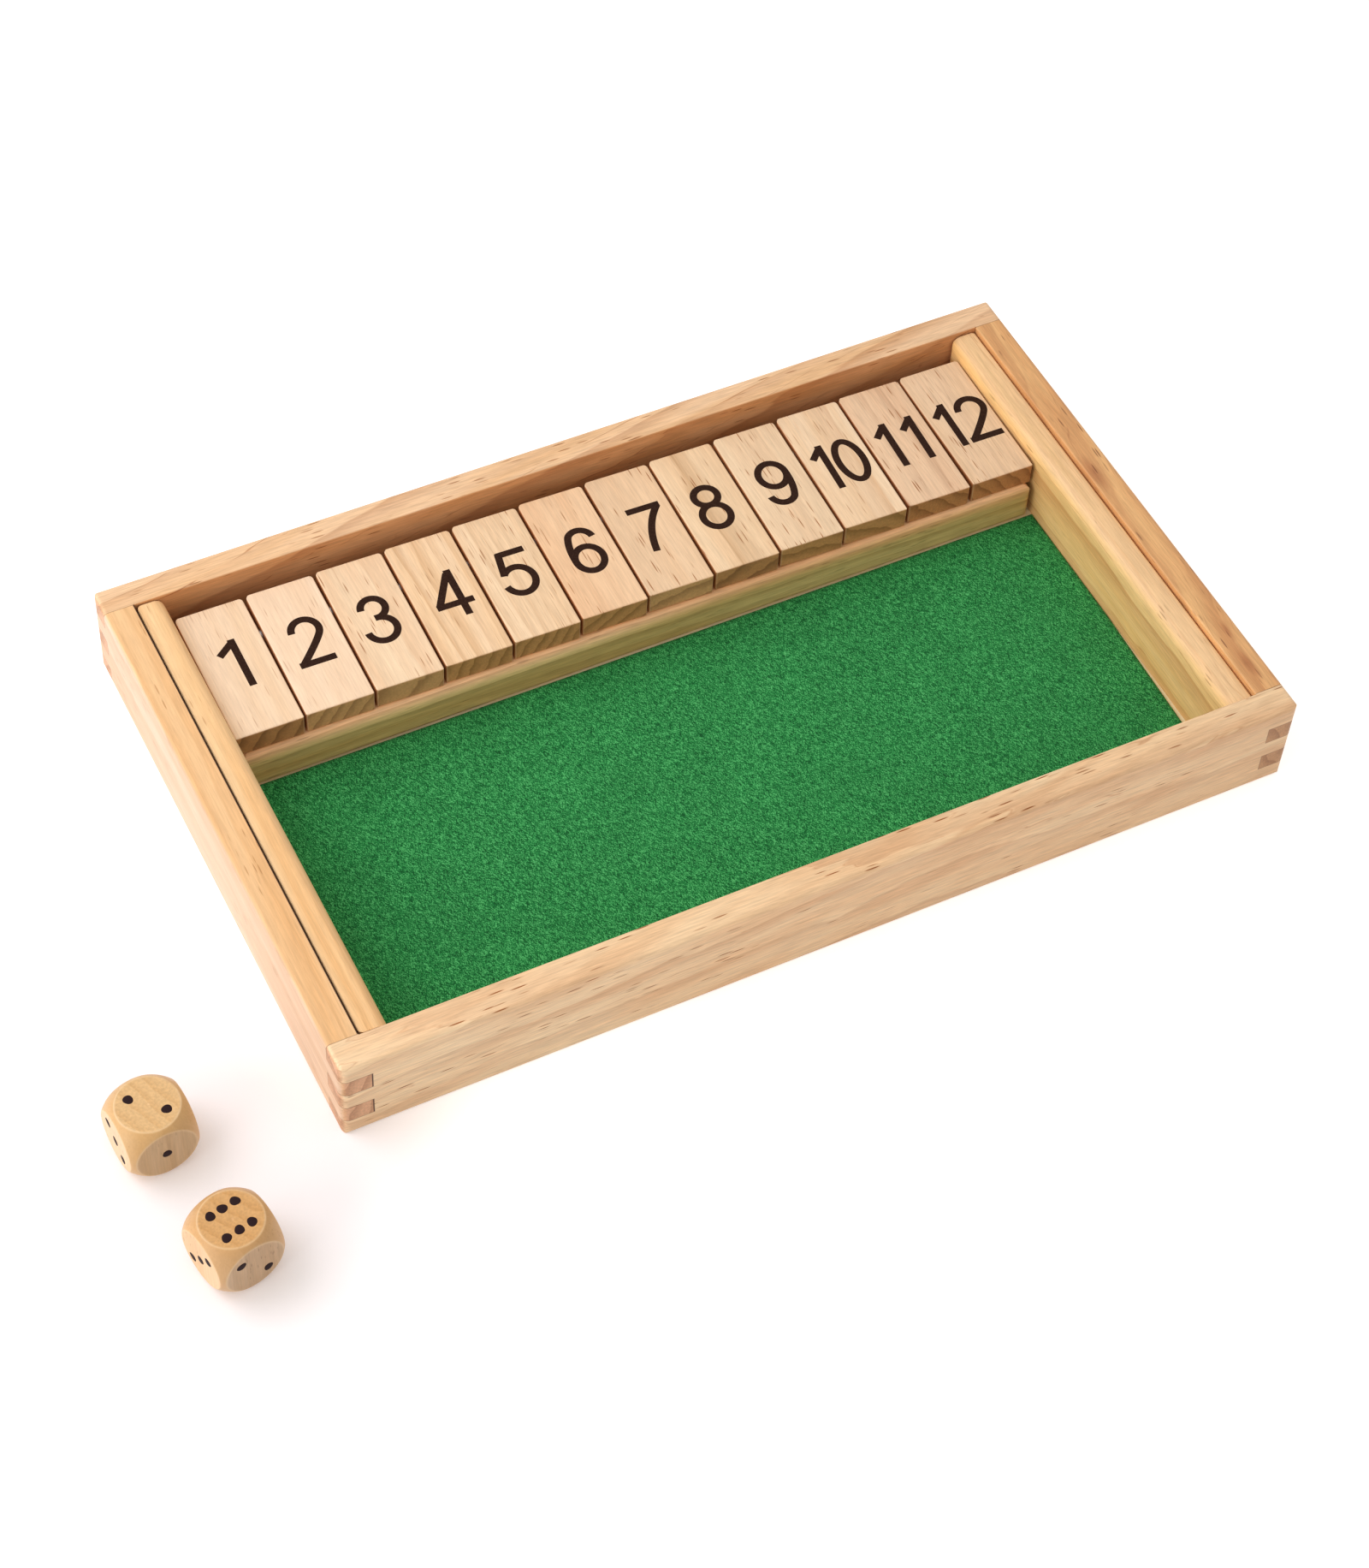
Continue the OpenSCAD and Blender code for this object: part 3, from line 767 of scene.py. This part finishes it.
def ribbon(path):
    """Closed strip of ink along a path: left and right edges lie half a width off it, square to its
    direction, at the top and the bottom of the ink. A path that ends where it starts becomes a ring.
    Returns corners [x, y, z] in mm, and faces."""
    ring = np.allclose(path[0], path[-1])
    if ring:
        path = path[:-1]
    along = np.roll(path, -1, 0) - np.roll(path, 1, 0)
    if not ring:
        along[0] = path[1] - path[0]
        along[-1] = path[-1] - path[-2]
    along /= np.linalg.norm(along, axis=1)[:, None]
    side = np.stack([-along[:, 1], along[:, 0]], -1) * INK_HALF_WIDTH
    left, right = path + side, path - side
    count = len(path)
    flat = np.concatenate([left, right, left, right])
    level = np.repeat([INK_THICK, INK_THICK, -INK_THICK, -INK_THICK], count)
    here = np.arange(count if ring else count - 1)
    after = (here + 1) % count
    top_left, top_right, foot_left, foot_right = 0, count, 2 * count, 3 * count
    faces = [
        np.stack([top_left + here, top_right + here, top_right + after, top_left + after], -1),
        np.stack([foot_left + here, foot_left + after, foot_right + after, foot_right + here], -1),
        np.stack([top_left + here, top_left + after, foot_left + after, foot_left + here], -1),
        np.stack([top_right + here, foot_right + here, foot_right + after, top_right + after], -1),
    ]
    if not ring:
        start = np.array([top_left, foot_left, foot_right, top_right])
        faces.append(np.stack([start, start[[0, 3, 2, 1]] + count - 1]))
    return np.column_stack([flat, level]), np.concatenate(faces)


print("a straight stroke has", len(ribbon(straight((0, 0), (0, 18)))[1]), "faces")

# %% [markdown]
# ## The ten digits
# Each digit is drawn about its own centre, in millimetres, with the top at +9 and the foot at -9. The
# nine is the six turned half round. The one in a pair is narrower, so its flag is shorter.

# %% Digits as strokes


def digit(figure, narrow=False):
    """List of the paths that make a digit."""
    if figure == 0:
        return [arc((-0.1, 0), (3.85, 7.95), 0, 360)]
    if figure == 1:
        foot, head, flag = (0.75, 1.05, -2.65) if narrow else (2.0, 2.0, -3.0)
        return [straight((foot, -9.05), (head, 9.0)), straight((head, 7.9), (flag, 4.05))]
    if figure == 2:
        hook = arc((0.5, 3.9), (4.0, 4.1), 180, -30)
        return [joined(hook, bend(hook[-1], (2.6, -0.6), (-4.3, -7.7))),
                straight((-5.55, -7.97), (5.2, -7.97))]
    if figure == 3:
        return [joined(arc((0.35, 4.45), (3.55, 3.7), 178, -90), straight((0.35, 0.75), (-0.5, 0.75))),
                joined(straight((-0.5, 0.75), (0.1, 0.75)), arc((0.0, -3.65), (4.3, 4.4), 88, -178))]
    if figure == 4:
        return [straight((2.2, -8.95), (2.2, 8.95)), straight((-5.7, -3.8), (5.6, -3.8)),
                straight((1.75, 7.75), (-4.8, -3.6))]
    if figure == 5:
        return [straight((-3.1, 7.9), (5.4, 7.9)), straight((-2.3, 8.6), (-3.75, -0.1)),
                arc((-0.2, -2.87), (4.55, 5.07), 142, -166)]
    if figure == 7:
        return [straight((-5.2, 7.85), (5.3, 7.85)), bend((4.35, 7.4), (-1.7, 1.0), (-2.8, -8.95))]
    if figure == 8:
        return [arc((0.15, 4.45), (3.6, 3.55), 0, 360), arc((0.0, -3.55), (4.15, 4.45), 0, 360)]
    bowl = arc((0.0, -3.25), (4.2, 4.75), 0, 360)
    crown = arc((0.35, 3.9), (3.85, 4.1), 8, 140)
    tail = joined(crown, bend(crown[-1], (-4.3, 3.0), (-4.2, -3.0)))
    return [bowl, tail] if figure == 6 else [-bowl, -tail]


print("strokes of each digit, 0 to 9:", [len(digit(figure)) for figure in range(10)])

# %% [markdown]
# ## Laying the ink
# A number sits a little off the middle of its tile, because each tile was printed in a loose jig. It also
# turns with its tile, and the tiles stand a degree or so askew on the rod. That angle is found from the
# solid: it is the turn at which the tile's outline is narrowest. Screen ink dries matt, brown-black where
# it is thin and blacker where it is thick.

# %% Print the numbers
PRINTS = [
    # digits of each tile, with the offset of each from the tile's centre in mm: (figure, x, y)
    [(1, -0.4, 1.5)], [(2, 0.3, 1.1)], [(3, -0.2, 0.3)], [(4, 1.3, 0.6)], [(5, 0.6, 0.3)],
    [(6, 1.0, -0.1)], [(7, 1.8, 0.1)], [(8, -0.4, 0.1)], [(9, 0.4, 0.9)],
    [(1, -4.4, 0.05), (0, 3.6, 0.05)],
    [(1, -3.9, 0.2), (1, 4.8, 0.2)],
    [(1, -5.0, 0.2), (2, 3.6, 0.2)],
]
# Strokes that cross lie this far above each other, in mm, so that no two share a surface
STROKE_STEP = 0.002
INK_MOTTLE = 0.6 * MM

ink, ink_tree = new_material("screen_print_ink")
ink_where = add(ink_tree, "TexCoord", out="Object")
ink_grain = add(ink_tree, "TexNoise", {"Vector": ink_where, "Scale": 1 / INK_MOTTLE, "Detail": 3.0})
ink_share = add(ink_tree, "MapRange", {"Value": ink_grain, "From Min": 0.45, "From Max": 0.75})
ink_tone = add(ink_tree, "Mix", {"Factor": ink_share, "A": linear("#2a150a"), "B": linear("#3a2418")},
               data_type="RGBA")
ink_shader = add(ink_tree, "BsdfPrincipled", {"Base Color": ink_tone, "Roughness": 0.75, "IOR": 1.5,
                                              "Specular IOR Level": 0.12})
add(ink_tree, "OutputMaterial", {"Surface": ink_shader})


def askew(name):
    """Turn of a tile about the vertical, in radians: the angle at which its corners spread least
    across."""
    x, y = points_of(name)[:, :2].T
    angles = np.radians(np.arange(-5, 5, 0.02))
    spread = np.ptp(np.cos(angles)[:, None] * x + np.sin(angles)[:, None] * y, axis=1)
    return angles[np.argmin(spread)]


def print_number(name, prints):
    """One mesh of ink on a tile: every stroke is turned with the tile, moved to it, and laid on its
    top."""
    low, high = corners(name)
    turn = askew(name)
    spin = np.array([[math.cos(turn), math.sin(turn)], [-math.sin(turn), math.cos(turn)]])
    inked, faces, used = [], [], 0
    for figure, x, y in prints:
        for path in digit(figure, narrow=len(prints) > 1):
            points, strip = ribbon(path + np.array([x, y]))
            points[:, :2] = points[:, :2] @ spin
            points[:, 2] += STROKE_STEP * len(inked)
            inked.append(points * MM + np.array([*(low + high)[:2] / 2, high[2]]))
            faces.append(strip + used)
            used += len(points)
    number = new_piece("number_" + name[-2:], np.concatenate(inked), np.concatenate(faces), ink,
                       smooth=False)
    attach(number, name)
    return turn


turns = [print_number(name, prints) for name, prints in zip(TILE_NAMES, PRINTS)]
print("tiles stand askew by, in degrees:", np.round(np.degrees(turns), 2).tolist())

# %% [markdown]
# ## The dice
# A wooden die of this kind is a cube turned to a ball at its corners, then tumbled, so that the edges
# between the flats and the ball are soft. One formula gives the whole skin: in each direction the surface
# lies at the nearer of the ball and the cube, blended over a small band. The six sides of the grid are
# welded to one skin. The turning leaves a small pit in the middle of the top and the bottom.

# %% Shape of a die
DIE_GRID = 90
BALL_SHARE = 0.663
SOFTNESS = 160
RIM_WIDTH = 0.2 * MM
PIT_DEPTH, PIT_RADIUS = 0.15 * MM, 0.45 * MM


def die_skin(width):
    """Skin of a die about its centre. In shares of the width, the ball lies at R and the cube at
    0.5/max|d| for a direction d; the surface is at width (R^-k + cube^-k)^(-1/k), which is the smaller of
    the two with a soft edge. On the vertical axis it sinks by PIT_DEPTH exp(-(r / PIT_RADIUS)^2). With
    e = width (cube - R), the rim is exp(-(e / RIM_WIDTH)^2), 1 on that edge, and the turned part is
    (1 + tanh(e / RIM_WIDTH)) / 2, 1 on the ball and 0 on the flats."""
    share = np.tan(np.linspace(-math.pi / 4, math.pi / 4, DIE_GRID))
    u, v = np.meshgrid(share, share)
    patches = []
    for axis in range(3):
        for sign in (1, -1):
            side = np.stack([np.full_like(u, sign), u * sign, v])
            patches.append(np.stack(np.roll(side, axis, axis=0), -1).reshape(-1, 3))
    direction = np.concatenate(patches)
    direction /= np.linalg.norm(direction, axis=1)[:, None]
    cube = 0.5 / np.abs(direction).max(axis=1)
    reach = width * (BALL_SHARE ** -SOFTNESS + cube ** -SOFTNESS) ** (-1 / SOFTNESS)
    points = direction * reach[:, None]
    across = np.hypot(points[:, 0], points[:, 1])
    points[:, 2] -= np.sign(points[:, 2]) * PIT_DEPTH * np.exp(-((across / PIT_RADIUS) ** 2))
    beyond = width * (cube - BALL_SHARE) / RIM_WIDTH
    rim = np.exp(-(beyond ** 2))
    ball = (1 + np.tanh(beyond)) / 2
    cell = (np.arange(DIE_GRID - 1)[:, None] * DIE_GRID + np.arange(DIE_GRID - 1)).ravel()
    one_side = np.stack([cell, cell + 1, cell + DIE_GRID + 1, cell + DIE_GRID], -1)
    return points, np.concatenate([one_side + k * DIE_GRID ** 2 for k in range(6)]), rim, ball


def weld(piece, gap):
    """Joins doubled corners of a piece and turns all its faces outward."""
    mesh = bmesh.new()
    mesh.from_mesh(piece.data)
    bmesh.ops.remove_doubles(mesh, verts=mesh.verts, dist=gap)
    bmesh.ops.recalc_face_normals(mesh, faces=mesh.faces)
    mesh.to_mesh(piece.data)
    mesh.free()
    piece.data.update()


print("a die's skin has", 6 * (DIE_GRID - 1) ** 2, "faces")

# %% [markdown]
# ## Pips
# The pips are drilled shallow and filled with black paint, which dries with a slightly uneven rim. So a
# pip is a low dome on a wobbly circle. The layout of each face is the usual one, and opposite faces add
# up to seven.

# %% Pips of a die
PIP_STEP = 0.191
PIP_RADIUS, PIP_DOME, PIP_EDGE, PIP_FOOT = 1.35 * MM, 0.05 * MM, 0.01 * MM, 0.1 * MM
PIP_RINGS, PIP_SPOKES = 5, 36
PIP_JITTER = 0.12 * MM
PIP_LAYOUT = {
    1: [(0, 0)],
    2: [(-1, 1), (1, -1)],
    3: [(-1, 1), (0, 0), (1, -1)],
    4: [(-1, 1), (1, 1), (-1, -1), (1, -1)],
    5: [(-1, 1), (1, 1), (0, 0), (-1, -1), (1, -1)],
    6: [(-1, 1), (0, 1), (1, 1), (-1, -1), (0, -1), (1, -1)],
}


def turned(axis, degrees):
    """Turn matrix about one axis, as a numpy array."""
    return np.array(Matrix.Rotation(math.radians(degrees), 3, axis))


def pip(chance):
    """Low dome on a wobbly circle: radius r0 (1 + a sin(2t + p) + b sin(3t + q)), height h (1 - s^2) +
    edge at the share s of the radius, and a flat foot sunk into the wood."""
    angle = np.linspace(0, 2 * np.pi, PIP_SPOKES, endpoint=False)
    start, later = chance.uniform(0, 6, 2)
    wobble = 1 + 0.05 * np.sin(2 * angle + start) + 0.04 * np.sin(3 * angle + later)
    share = np.linspace(0, 1, PIP_RINGS + 1)[1:, None]
    radius = PIP_RADIUS * share * wobble
    level = np.broadcast_to(PIP_DOME * (1 - share ** 2) + PIP_EDGE, radius.shape)
    dome = np.stack([radius * np.cos(angle), radius * np.sin(angle), level], -1).reshape(-1, 3)
    rim = dome[-PIP_SPOKES:] * [1, 1, 0] - [0, 0, PIP_FOOT]
    points = np.concatenate([[[0, 0, PIP_DOME + PIP_EDGE]], dome, rim, [[0, 0, -PIP_FOOT]]])
    here = np.arange(PIP_SPOKES)
    after = (here + 1) % PIP_SPOKES
    cap = np.stack([np.zeros(PIP_SPOKES, int), 1 + here, 1 + after], -1)
    inner = 1 + PIP_SPOKES * np.arange(PIP_RINGS)[:, None]
    outer = inner + PIP_SPOKES
    bands = np.stack([inner + here, outer + here, outer + after, inner + after], -1).reshape(-1, 4)
    last = outer[-1]
    foot = np.stack([np.full(PIP_SPOKES, len(points) - 1), last + after, last + here], -1)
    return points, cap.tolist() + bands.tolist() + foot.tolist()


def die_pips(width, faces_up, chance):
    """All pips of a die about its centre. faces_up lists (number of pips, turn matrix of the face)."""
    painted, polygons, used = [], [], 0
    for count, turn in faces_up:
        for place in PIP_LAYOUT[count]:
            points, faces = pip(chance)
            off = np.array(place) * PIP_STEP * width + chance.uniform(-PIP_JITTER, PIP_JITTER, 2)
            painted.append((points + [*off, width / 2]) @ turn.T)
            polygons += [[index + used for index in face] for face in faces]
            used += len(points)
    return np.concatenate(painted), polygons


print("pips on a die:", sum(len(places) for places in PIP_LAYOUT.values()))

# %% [markdown]
# ## Colours of the dice
# Each die is cut from another stick. Its turned ball is a little darker than its sanded flats, partly in
# its own tone and partly as painted shade, and the rim between them is palest, worn and with a painted
# highlight. The front and back of each die get painted shade. The paint of the pips is black enamel,
# dulled by tumbling.

# %% Tones and paint
paint, paint_tree = new_material("black_enamel_pips")
paint_shader = add(paint_tree, "BsdfPrincipled", {"Base Color": linear("#271517"), "Roughness": 0.6,
                                                  "IOR": 1.5, "Specular IOR Level": 0.12})
add(paint_tree, "OutputMaterial", {"Surface": paint_shader})

# How much of its painted highlight and wear the rim takes, and how much of its darker tone and painted
# shade the ball takes
RIM_HIGHLIGHT_SHARE, BALL_TONE_SHADE_SHARE = 0.4, 0.55
DICE_TONES = {
    # name: two tones of side grain, two of end grain, the turned part (its tone with painted shade),
    # painted shade of the front and back
    "die_1": ("#ecc99e", "#e4bd8d", "#dfb67f", "#d7ab72", "#d1a05e", "#dcdad3"),
    "die_2": ("#f1c99b", "#e8bb89", "#d6a468", "#cd995b", "#cc9a5c", "#d8dae0"),
}
print("dice come in", len(DICE_TONES), "sets of tones")

# %% [markdown]
# ## Setting the dice down
# The two dice stand where the solids stand. Their turn about the vertical is given, in degrees, and so is
# the number that each shows on top, in front and on its left.

# %% Build both dice
WELD_GAP = 0.01 * MM
DICE = {
    # name: turn in degrees, top, front, left, quarter turn of the left face
    "die_1": (5.0, 2, 1, 3, 90),
    "die_2": (12.0, 6, 2, 3, 0),
}
chance = np.random.default_rng(7)
for name, (turn, top, front, left, left_spin) in DICE.items():
    light, dark, end, dark_end, ball_tone_and_shade, shade = DICE_TONES[name]
    low, high = corners(name)
    width = high[2] - low[2]
    centre = (low + high) / 2
    stand = turned("Z", turn)
    skin, quads, rim, ball = die_skin(width)
    # top=shade paints shade on the front and back of the die. The ball mark is a darker tone, partly
    # painted shade, and the rim mark is a painted highlight with wear
    finish = wood("beech_" + name, (light, dark, "#c3935e", "#8f5f33"), (end, dark_end), "z",
                  (centre / MM * 0.7 + [0, 20, 30]).tolist(), lean=(1.0, 1.5), ring_mm=4.0, rings=0.25,
                  lines=0.35, fibres=0.12, pores=0.4, pore_mm=(1.4, 0.3), rough=0.4, top=shade,
                  marks=[("ball", ball_tone_and_shade), ("rim", "#f6dab0")])
    die = new_piece(name + "_body", skin @ stand.T + centre, quads, finish)
    for attribute, share in (("rim", RIM_HIGHLIGHT_SHARE * rim), ("ball", BALL_TONE_SHADE_SHARE * ball)):
        die.data.attributes.new(attribute, "FLOAT", "POINT").data.foreach_set("value", share)
    weld(die, WELD_GAP)
    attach(die, name)
    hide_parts(name)
    sides = [
        (top, turned("Z", 0)), (7 - top, turned("X", 180)), (front, turned("X", 90)),
        (7 - front, turned("X", -90)), (left, turned("Y", -90) @ turned("Z", left_spin)),
        (7 - left, turned("Y", 90)),
    ]
    spots, polygons = die_pips(width, sides, chance)
    pips = new_piece(name + "_pips", spots @ stand.T + centre, polygons, paint)
    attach(pips, name)
    print(name, "is", round(width / MM, 2), "mm wide,", len(die.data.polygons), "faces")

# %% [markdown]
# ## The table
# The game stands on a matt painted table. To the camera and in reflections it glows a little, so that it
# comes out white except where something shades it. The glow is weaker round the dice, whose shadows are
# soft and faint and would drown in it.

# %% Table
TABLE_HALF = 3.0
DICE_PLACE = (-0.187, -0.091, 0.0)
GLOW_NEAR, GLOW_FAR = 0.035, 0.09
GLOW_LOW, GLOW_FULL = 0.18, 0.62


def table_material():
    """Matt paint for the light that the table throws back, and paint with a glow for the eye."""
    material, tree = new_material("painted_table")
    matt = add(tree, "BsdfDiffuse", {"Color": linear("#f1eff2")})
    where = add(tree, "TexCoord", out="Object")
    off = add(tree, "VectorMath", {0: where, 1: DICE_PLACE}, operation="DISTANCE")
    level = add(tree, "MapRange", {"Value": off, "From Min": GLOW_NEAR, "From Max": GLOW_FAR,
                                   "To Min": GLOW_LOW, "To Max": GLOW_FULL},
                interpolation_type="SMOOTHSTEP")
    seen_paint = add(tree, "BsdfDiffuse", {"Color": linear("#eeebee")})
    glow = add(tree, "Emission", {"Color": linear("#fff9f4"), "Strength": level})
    camera_ray, glossy_ray = add(tree, "LightPath", out=("Is Camera Ray", "Is Glossy Ray"))
    seen = add(tree, "Math", {0: camera_ray, 1: glossy_ray}, operation="MAXIMUM")
    seen_table = add(tree, "AddShader", {0: seen_paint, 1: glow})
    either = add(tree, "MixShader", {0: seen, 1: matt, 2: seen_table})
    add(tree, "OutputMaterial", {"Surface": either})
    return material


table_corners = np.array([[-1, -1, 0], [1, -1, 0], [1, 1, 0], [-1, 1, 0]]) * TABLE_HALF
table = new_piece("table", table_corners, np.array([[0, 1, 2, 3]]), table_material(), smooth=False)
print("table:", 2 * TABLE_HALF, "m wide")

# %% [markdown]
# ## Sky and lamps
# A dim, even sky gives plain soft light, and shows as white wherever it is seen directly, in a gloss or
# through glass. A large lamp at the back left makes the left side glow and leaves the right side and the
# inner faces warm and dark. A second one, low on the left, softens its shadows.

# %% Sky and lamps
SKY_LEVEL = 0.68
LAMPS = {
    # name: place in metres, width in metres, watts, tint
    "key_lamp": ((-0.62, 0.34, 0.70), 0.72, 4.45, "#fbfaff"),
    "low_fill": ((-1.02, -0.25, 0.36), 0.60, 3.0, "#fffaf4"),
}

world = bpy.data.worlds.new("studio")
world.use_nodes = True
bpy.context.scene.world = world
sky = world.node_tree
sky.nodes.clear()
seen, *other_rays = add(sky, "LightPath", out=("Is Camera Ray", "Is Glossy Ray", "Is Transmission Ray"))
for ray in other_rays:
    seen = add(sky, "Math", {0: seen, 1: ray}, operation="MAXIMUM")
dim = add(sky, "Background", {"Color": linear("#fffbf6"), "Strength": SKY_LEVEL})
white = add(sky, "Background", {"Color": linear("#ffffff"), "Strength": 1.0})
mixed = add(sky, "MixShader", {0: seen, 1: dim, 2: white})
add(sky, "OutputWorld", {"Surface": mixed})


def lamp(name, place, size, power, tint):
    """Square area lamp at place that faces the middle of the box, size metres wide: back = place /
    |place|, right = Z x back."""
    light = bpy.data.lights.new(name, "AREA")
    light.shape = "SQUARE"
    light.size = size
    light.energy = power
    light.color = linear(tint)[:3]
    back = np.array(place) / np.linalg.norm(place)
    right = np.cross([0.0, 0.0, 1.0], back)
    right /= np.linalg.norm(right)
    stand_at(bpy.data.objects.new(name, light), np.column_stack([right, np.cross(back, right), back]),
             place)


for name, (place, size, power, tint) in LAMPS.items():
    lamp(name, place, size, power, tint)
bpy.context.scene.view_settings.view_transform = "Standard"
print("lamps:", ", ".join(LAMPS))
